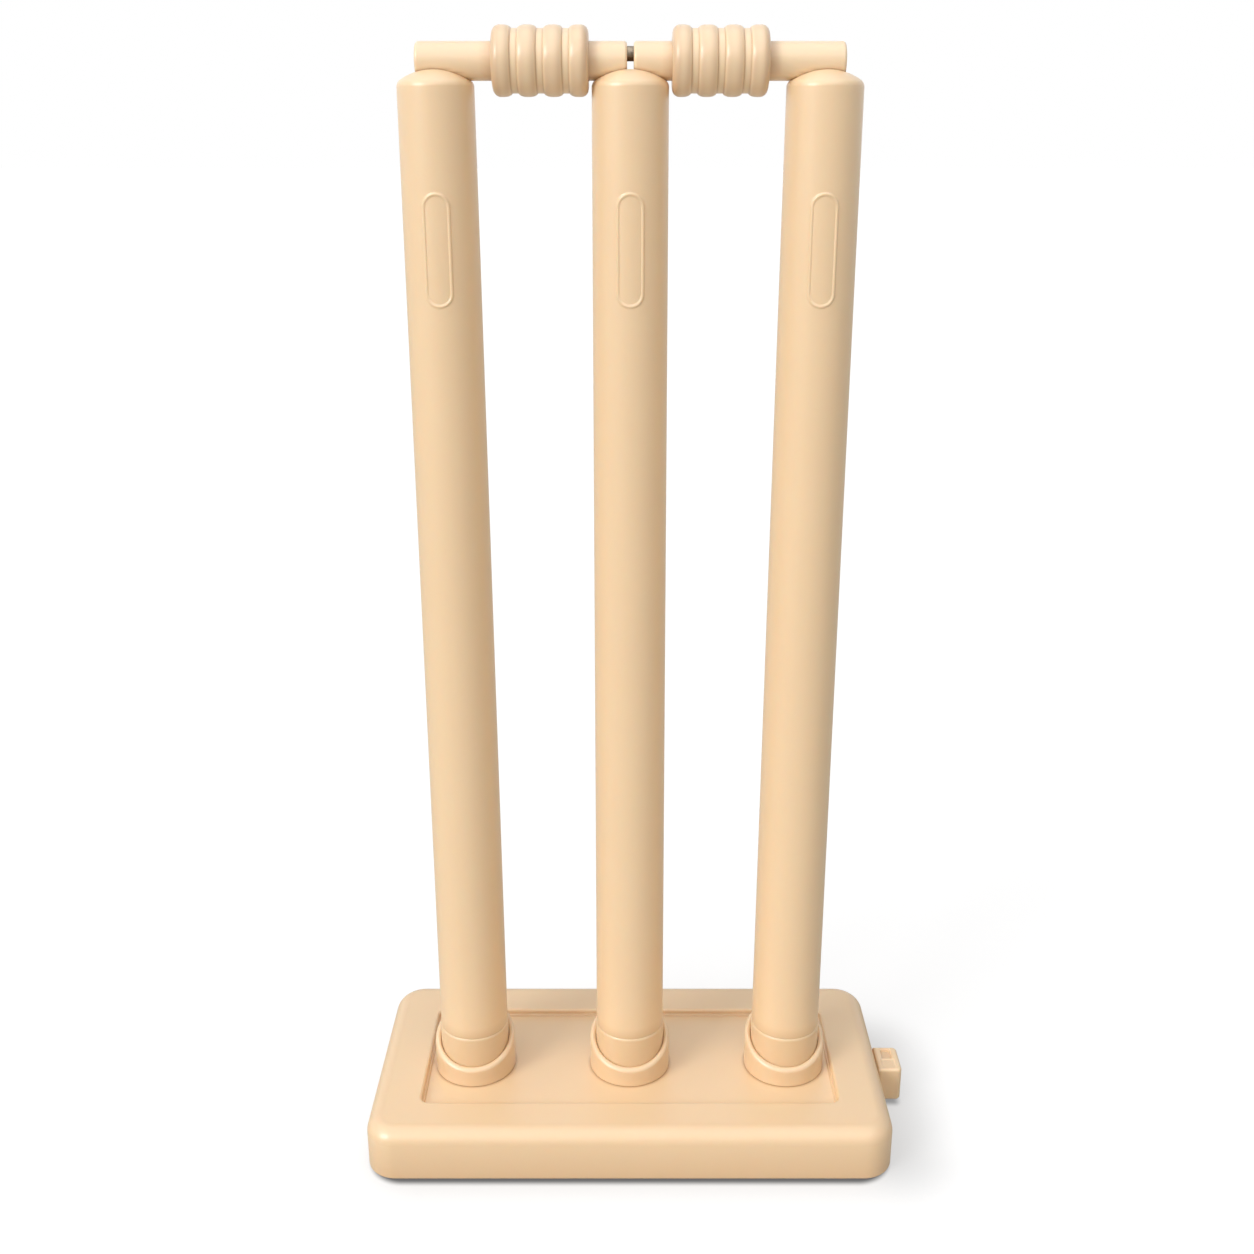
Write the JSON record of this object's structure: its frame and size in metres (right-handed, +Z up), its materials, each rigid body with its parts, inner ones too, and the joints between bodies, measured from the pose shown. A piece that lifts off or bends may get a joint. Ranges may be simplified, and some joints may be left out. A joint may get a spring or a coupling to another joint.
{
  "type": "cricket stumps",
  "caption": "Free-standing cricket wicket: hollow domed stumps held by booted feet in the sloping collars of a weighted base, with ribbed bails linked by a pin.",
  "frame": {"origin": "on the floor under the middle of the base, on the underside of the middle grip strip; the filler cap that stands out to the right isn't counted in that middle", "axes": "+X along the wicket towards the end with the filler cap, +Y from the front to the back, where the socket collars are higher, +Z up"},
  "size_m": [0.3233, 0.152, 0.6237],
  "materials": {
    "base_plastic": "satin",
    "stump_plastic": "satin",
    "bail_plastic": "satin",
    "rubber": "matte",
    "steel": "satin",
    "sand": "matte"
  },
  "bodies": {
    "base": {"base_shell": "base_plastic", "base_plate": "base_plastic", "base_gasket": "rubber", "cover_screws": "steel", "grip_strip_left": "rubber", "grip_strip_middle": "rubber", "grip_strip_right": "rubber", "sand_fill": "sand", "socket_left": "base_plastic", "socket_middle": "base_plastic", "socket_right": "base_plastic", "socket_washer_left": "rubber", "socket_washer_middle": "rubber", "socket_washer_right": "rubber", "socket_nut_left": "base_plastic", "socket_nut_middle": "base_plastic", "socket_nut_right": "base_plastic"},
    "filler": {"filler_cap": "base_plastic", "cap_seal": "rubber"},
    "left_stump": {"stump_left": "stump_plastic", "boot_left": "stump_plastic"},
    "middle_stump": {"stump_middle": "stump_plastic", "boot_middle": "stump_plastic"},
    "right_stump": {"stump_right": "stump_plastic", "boot_right": "stump_plastic"},
    "link": {"link_pin": "steel"},
    "left_bail": {"bail_rod_left": "bail_plastic", "bail_barrel_left": "bail_plastic"},
    "right_bail": {"bail_rod_right": "bail_plastic", "bail_barrel_right": "bail_plastic"}
  },
  "joints": [
    {"name": "middle_stump_lift", "type": "slide", "parent": "base", "child": "middle_stump", "axis": [0, 0, 1], "range_m": [0, 0.08]},
    {"name": "left_stump_lift", "type": "slide", "parent": "base", "child": "left_stump", "axis": [0, 0, 1], "range_m": [0, 0.08]},
    {"name": "right_stump_lift", "type": "slide", "parent": "base", "child": "right_stump", "axis": [0, 0, 1], "range_m": [0, 0.08]},
    {"name": "bails_lift", "type": "slide", "parent": "middle_stump", "child": "link", "axis": [0, 0, 1], "range_m": [0, 0.05]},
    {"name": "left_bail_pull", "type": "slide", "parent": "link", "child": "left_bail", "axis": [-1, 0, 0], "range_m": [0, 0.0075]},
    {"name": "right_bail_pull", "type": "slide", "parent": "link", "child": "right_bail", "axis": [1, 0, 0], "range_m": [0, 0.0075]},
    {"name": "filler_cap_pull", "type": "slide", "parent": "base", "child": "filler", "axis": [1, 0, 0], "range_m": [0, 0.03]}
  ],
  "couplings": [
    {"joint": "left_stump_lift", "follows": "middle_stump_lift", "ratio": 1},
    {"joint": "right_stump_lift", "follows": "middle_stump_lift", "ratio": 1}
  ]
}
